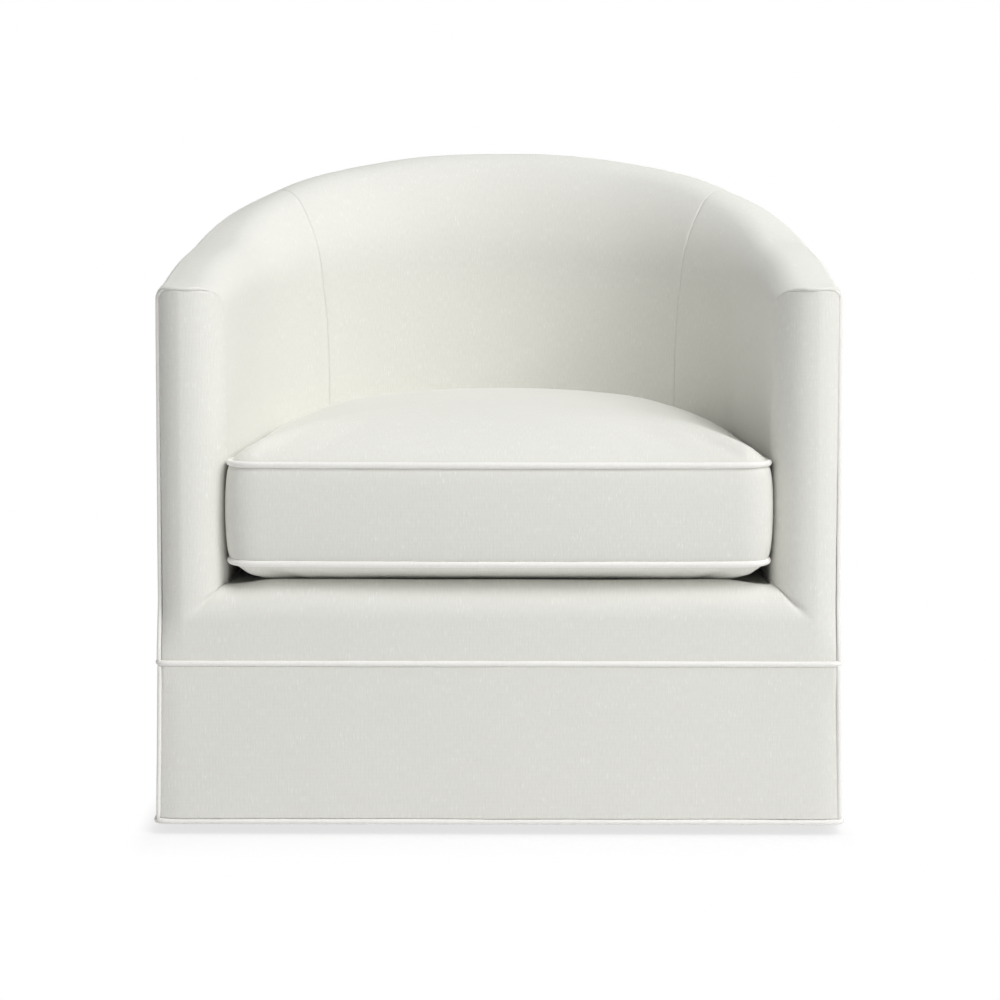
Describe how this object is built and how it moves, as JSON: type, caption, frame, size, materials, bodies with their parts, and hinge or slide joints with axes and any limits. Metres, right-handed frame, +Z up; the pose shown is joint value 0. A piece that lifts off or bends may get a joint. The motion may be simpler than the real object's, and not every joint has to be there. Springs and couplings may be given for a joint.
{
  "type": "skirted swivel barrel chair",
  "caption": "Upholstered barrel chair with a sloping rolled rim, loose boxed seat cushion and tailored skirt, turning on a hidden ball-bearing swivel.",
  "frame": {"origin": "on the floor, on the swivel axis, which is the middle of the chair's floor plan", "axes": "+Z up, +X to the right seen from the front, -Y the front where the sitter's knees are"},
  "size_m": [0.7696, 0.7576, 0.757],
  "materials": {
    "ivory_upholstery_fabric": "woven, matte",
    "ivory_welt": "bias-cut weave over cord",
    "seat_foam": "open-cell foam",
    "frame_plywood": "raw birch plywood",
    "fibreboard": "raw board",
    "jute_webbing": "coarse weave",
    "black_cambric": "thin non-woven cloth",
    "spring_steel": "oiled wire",
    "black_powder_coat": "satin",
    "zinc_plated_steel": "zinc plate",
    "black_nylon": "moulded",
    "zipper_tape": "twill tape, nylon coil",
    "nickel_plate": "nickel plate"
  },
  "bodies": {
    "base": {"floor_ring": "black_powder_coat", "floor_glides": "black_nylon", "base_cross": "black_powder_coat", "lower_race": "zinc_plated_steel", "king_bolt": "zinc_plated_steel", "thrust_washer": "zinc_plated_steel", "lock_nut": "zinc_plated_steel"},
    "ball_cage": {"ball_cage": "black_nylon", "bearing_balls": "zinc_plated_steel"},
    "cushion": {"cushion_core": "seat_foam", "cushion_top": "ivory_upholstery_fabric", "cushion_bottom": "ivory_upholstery_fabric", "cushion_boxing": "ivory_upholstery_fabric", "cushion_welt_top": "ivory_welt", "cushion_welt_bottom": "ivory_welt", "cushion_zipper": "zipper_tape"},
    "zipper_slider": {"zipper_slider": "nickel_plate"},
    "chair": {"inside_arm_left": "ivory_upholstery_fabric", "inside_arm_right": "ivory_upholstery_fabric", "inside_back": "ivory_upholstery_fabric", "outside_arm_left": "ivory_upholstery_fabric", "outside_arm_right": "ivory_upholstery_fabric", "outside_back": "ivory_upholstery_fabric", "front_border": "ivory_upholstery_fabric", "skirt_front": "ivory_upholstery_fabric", "skirt_wrap": "ivory_upholstery_fabric", "deck_cover": "ivory_upholstery_fabric", "arm_welt_left": "ivory_welt", "arm_welt_right": "ivory_welt", "skirt_top_welt": "ivory_welt", "skirt_hem_welt": "ivory_welt", "skirt_corner_welts": "ivory_welt", "deck_pad": "seat_foam", "bottom_ring": "frame_plywood", "seat_ring": "frame_plywood", "front_rail": "frame_plywood", "front_posts": "frame_plywood", "side_posts": "frame_plywood", "back_posts": "frame_plywood", "arm_rail_left": "frame_plywood", "arm_rail_right": "frame_plywood", "crest_rail": "frame_plywood", "swivel_board": "frame_plywood", "frame_skin": "fibreboard", "skirt_tack_strip": "fibreboard", "back_webbing": "jute_webbing", "spring_insulator": "jute_webbing", "dust_cover": "black_cambric", "seat_springs": "spring_steel", "spring_clips": "spring_steel", "upper_race": "zinc_plated_steel", "plate_bolts": "zinc_plated_steel"}
  },
  "joints": [
    {"name": "swivel", "type": "hinge", "parent": "base", "child": "chair", "pos_m": [0, 0, 0.0422], "axis": [0, 0, 1], "continuous": true},
    {"name": "cage_orbit", "type": "hinge", "parent": "base", "child": "ball_cage", "pos_m": [0, 0, 0.0422], "axis": [0, 0, 1], "continuous": true},
    {"name": "cushion_lift", "type": "slide", "parent": "chair", "child": "cushion", "axis": [0, 0, 1], "range_m": [0, 0.45]},
    {"name": "zipper_run", "type": "hinge", "parent": "cushion", "child": "zipper_slider", "pos_m": [0, -0.02209, 0.35925], "axis": [0, 0, 1], "range_deg": [0, 110]}
  ],
  "couplings": [
    {"joint": "cage_orbit", "follows": "swivel", "ratio": 0.5}
  ]
}
